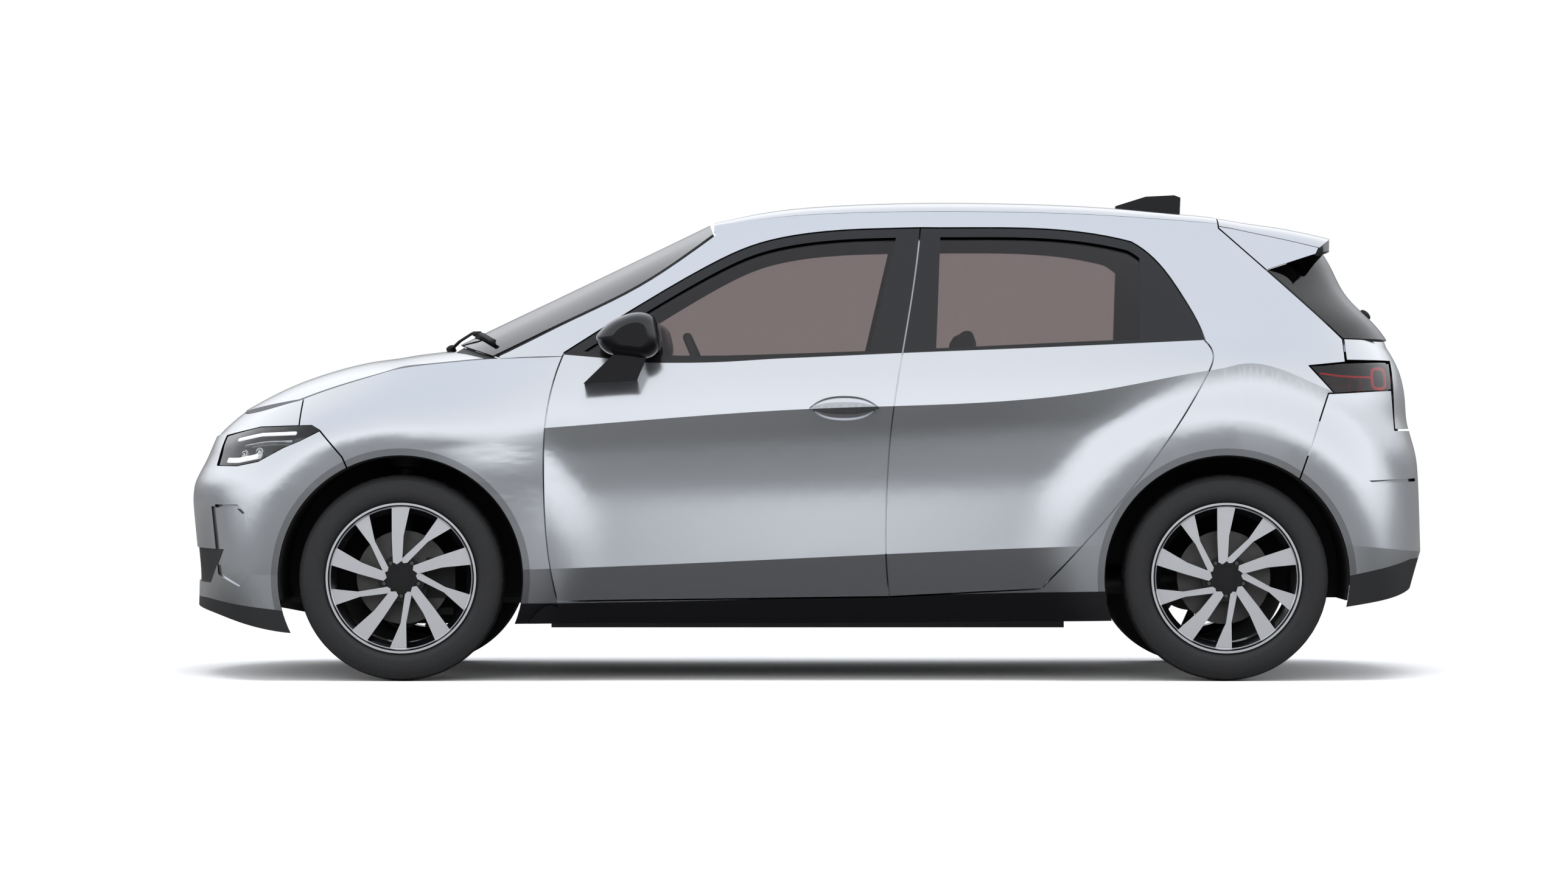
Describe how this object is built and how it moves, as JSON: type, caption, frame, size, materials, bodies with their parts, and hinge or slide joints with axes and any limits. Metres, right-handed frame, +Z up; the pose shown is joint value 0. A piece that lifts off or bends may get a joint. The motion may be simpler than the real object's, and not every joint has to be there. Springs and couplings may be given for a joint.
{
  "type": "hatchback car",
  "caption": "Five-door hatchback with opening doors, bonnet and tailgate, steered front wheels and a full cabin.",
  "frame": {"origin": "on the ground, under the middle of the car's length and width", "axes": "front of the car towards -X, its left side towards -Y, +Z up"},
  "size_m": [4.0191, 2.0248, 1.5653],
  "materials": {
    "paint": "metallic silver, clear-coated",
    "black_trim": "gloss black",
    "grained_black": "grained black",
    "tinted_glass": "tinted",
    "clear_glass": "light tint",
    "lamp": "clear lens over dark housing",
    "tail_lamp": "smoked with a red ring",
    "tyre": "matt",
    "rim": "machined faces over gloss black",
    "bright_trim": "satin bright",
    "iron": "machined",
    "steel": "black",
    "pack": "cast",
    "cloth": "woven",
    "soft_black": "soft touch",
    "rim_grip": "smooth"
  },
  "bodies": {
    "body": {"antenna": "black_trim", "arch_liners": "grained_black", "battery_pack": "pack", "body_side_left": "paint", "body_side_right": "paint", "cowl": "grained_black", "dashboard": "soft_black", "drive_unit": "pack", "floor_pan": "steel", "front_bumper": "paint", "front_lip": "grained_black", "front_seats": "cloth", "front_subframe": "steel", "headlamps": "lamp", "rear_axle": "steel", "rear_bumper": "paint", "rear_diffuser": "grained_black", "rear_seat": "cloth", "roof_panel": "paint", "tail_lamps": "tail_lamp", "windscreen": "clear_glass", "wings": "paint"},
    "wheel_front_left": {"tyre_front_left": "tyre", "rim_front_left": "rim", "brake_disc_front_left": "iron"},
    "wheel_front_right": {"tyre_front_right": "tyre", "rim_front_right": "rim", "brake_disc_front_right": "iron"},
    "wheel_rear_left": {"tyre_rear_left": "tyre", "rim_rear_left": "rim", "brake_disc_rear_left": "iron"},
    "wheel_rear_right": {"tyre_rear_right": "tyre", "rim_rear_right": "rim", "brake_disc_rear_right": "iron"},
    "steer_left": {"knuckle_left": "steel"},
    "steer_right": {"knuckle_right": "steel"},
    "steering": {"steering_wheel": "rim_grip"},
    "front_door_left": {"door_front_left": "paint", "glass_front_left": "tinted_glass", "mirror_left": "black_trim", "handle_left": "bright_trim"},
    "front_door_right": {"door_front_right": "paint", "glass_front_right": "tinted_glass", "mirror_right": "black_trim", "handle_right": "bright_trim"},
    "rear_door_left": {"door_rear_left": "paint", "glass_rear_left": "tinted_glass"},
    "rear_door_right": {"door_rear_right": "paint", "glass_rear_right": "tinted_glass"},
    "bonnet_lid": {"bonnet": "paint"},
    "tailgate_lid": {"tailgate": "paint", "tailgate_glass": "tinted_glass"}
  },
  "joints": [
    {"name": "steer_left", "type": "hinge", "parent": "body", "child": "steer_left", "pos_m": [-1.282, -0.7, 0.19004], "axis": [0, 0.1953, 0.9807], "range_deg": [-35, 35]},
    {"name": "wheel_front_left_spin", "type": "hinge", "parent": "steer_left", "child": "wheel_front_left", "pos_m": [-1.282, -0.77, 0.325], "axis": [0, 1, 0], "continuous": true},
    {"name": "wheel_rear_left_spin", "type": "hinge", "parent": "body", "child": "wheel_rear_left", "pos_m": [1.318, -0.77, 0.325], "axis": [0, 1, 0], "continuous": true},
    {"name": "steer_right", "type": "hinge", "parent": "body", "child": "steer_right", "pos_m": [-1.282, 0.7, 0.19004], "axis": [0, -0.1953, 0.9807], "range_deg": [-35, 35]},
    {"name": "wheel_front_right_spin", "type": "hinge", "parent": "steer_right", "child": "wheel_front_right", "pos_m": [-1.282, 0.77, 0.325], "axis": [0, 1, 0], "continuous": true},
    {"name": "wheel_rear_right_spin", "type": "hinge", "parent": "body", "child": "wheel_rear_right", "pos_m": [1.318, 0.77, 0.325], "axis": [0, 1, 0], "continuous": true},
    {"name": "steering_wheel_turn", "type": "hinge", "parent": "body", "child": "steering", "pos_m": [-0.3148, -0.35, 0.927], "axis": [-0.9136, 0, -0.4067], "range_deg": [-500, 500]},
    {"name": "front_door_left_hinge", "type": "hinge", "parent": "body", "child": "front_door_left", "pos_m": [-0.8269, -0.905, 0.6], "axis": [0, 0, -1], "range_deg": [0, 68]},
    {"name": "front_door_right_hinge", "type": "hinge", "parent": "body", "child": "front_door_right", "pos_m": [-0.8269, 0.905, 0.6], "axis": [0, 0, 1], "range_deg": [0, 68]},
    {"name": "rear_door_left_hinge", "type": "hinge", "parent": "body", "child": "rear_door_left", "pos_m": [0.2521, -0.89, 0.6], "axis": [0, 0, -1], "range_deg": [0, 68]},
    {"name": "rear_door_right_hinge", "type": "hinge", "parent": "body", "child": "rear_door_right", "pos_m": [0.2521, 0.89, 0.6], "axis": [0, 0, 1], "range_deg": [0, 68]},
    {"name": "bonnet_hinge", "type": "hinge", "parent": "body", "child": "bonnet_lid", "pos_m": [-1.005, 0, 1.018], "axis": [0, 1, 0], "range_deg": [0, 55]},
    {"name": "tailgate_hinge", "type": "hinge", "parent": "body", "child": "tailgate_lid", "pos_m": [1.314, 0, 1.492], "axis": [0, -1, 0], "range_deg": [0, 80]}
  ],
  "couplings": [
    {"joint": "steer_right", "follows": "steer_left", "ratio": 1},
    {"joint": "steering_wheel_turn", "follows": "steer_left", "ratio": -14}
  ]
}
